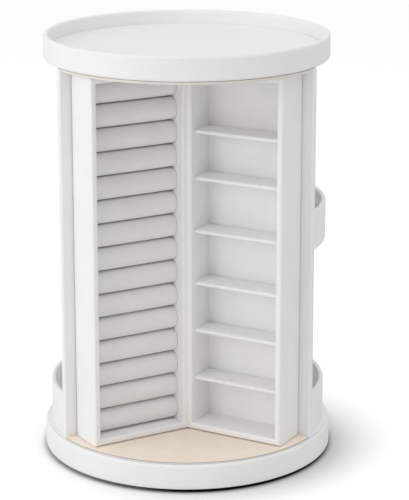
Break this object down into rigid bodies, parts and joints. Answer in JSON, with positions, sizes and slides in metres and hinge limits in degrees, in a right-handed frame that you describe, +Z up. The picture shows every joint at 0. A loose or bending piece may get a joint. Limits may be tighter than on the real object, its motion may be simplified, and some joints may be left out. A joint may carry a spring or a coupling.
{
  "type": "rotating jewellery tower",
  "caption": "Round white jewellery tower that turns on a ball-bearing base, with a ring tray, an earring tray, pockets, necklace hooks and a shallow tray on top.",
  "frame": {"origin": "on the tower's turning axis, on the surface that the rubber feet stand on", "axes": "+Z up along the turning axis, -Y towards the front niche with the two trays, +X to the right as seen from the front"},
  "size_m": [0.26, 0.26, 0.3796],
  "materials": {
    "white_leatherette": "satin",
    "beige_suede": "matt",
    "grey_velvet": "matt",
    "grey_felt": "matt",
    "mdf": "raw",
    "steel": "brushed",
    "nylon": "matt",
    "rubber": "matt",
    "gold_wire": "polished"
  },
  "bodies": {
    "base": {"base_panel": "mdf", "base_ring": "mdf", "base_cover": "white_leatherette", "base_underlay": "grey_felt", "rubber_feet": "rubber", "bearing_outer_ring": "steel", "bearing_outer_screws": "steel"},
    "ball_ring": {"bearing_cage": "nylon", "bearing_balls": "steel"},
    "tower": {"bearing_inner_ring": "steel", "bearing_inner_screws": "steel", "turntable_board": "mdf", "turntable_cover": "white_leatherette", "floor_lining": "beige_suede", "partition_screws": "steel", "centre_post": "white_leatherette", "partition_left": "white_leatherette", "partition_right": "white_leatherette", "partition_rear": "white_leatherette", "ring_tray_frame": "white_leatherette", "ring_tray_back": "white_leatherette", "ring_tray_pad": "grey_velvet", "ring_roll_01": "grey_velvet", "ring_roll_02": "grey_velvet", "ring_roll_03": "grey_velvet", "ring_roll_04": "grey_velvet", "ring_roll_05": "grey_velvet", "ring_roll_06": "grey_velvet", "ring_roll_07": "grey_velvet", "ring_roll_08": "grey_velvet", "ring_roll_09": "grey_velvet", "ring_roll_10": "grey_velvet", "ring_roll_11": "grey_velvet", "ring_roll_12": "grey_velvet", "ring_roll_13": "grey_velvet", "ring_roll_14": "grey_velvet", "ring_roll_15": "grey_velvet", "earring_tray_frame": "white_leatherette", "earring_tray_back": "white_leatherette", "earring_tray_lining": "grey_velvet", "earring_shelf_1": "grey_velvet", "earring_shelf_2": "grey_velvet", "earring_shelf_3": "grey_velvet", "earring_shelf_4": "grey_velvet", "earring_shelf_5": "grey_velvet", "earring_shelf_6": "grey_velvet", "roof_lining": "beige_suede", "top_tray_core": "mdf", "top_tray_cover": "white_leatherette", "top_tray_underlay": "white_leatherette", "top_tray_mat": "white_leatherette", "left_bin_wall": "white_leatherette", "left_bin_mat": "grey_velvet", "right_bin_wall": "white_leatherette", "right_bin_mat": "grey_velvet", "upper_bin_shelf": "white_leatherette", "upper_bin_wall": "white_leatherette", "upper_bin_mat": "grey_velvet", "hook_rails": "white_leatherette", "necklace_hooks": "gold_wire"}
  },
  "joints": [
    {"name": "tower_turn", "type": "hinge", "parent": "base", "child": "tower", "pos_m": [0, 0, 0.0134], "axis": [0, 0, 1], "continuous": true},
    {"name": "ball_ring_turn", "type": "hinge", "parent": "base", "child": "ball_ring", "pos_m": [0, 0, 0.0134], "axis": [0, 0, 1], "continuous": true}
  ],
  "couplings": [
    {"joint": "ball_ring_turn", "follows": "tower_turn", "ratio": 0.4841}
  ]
}
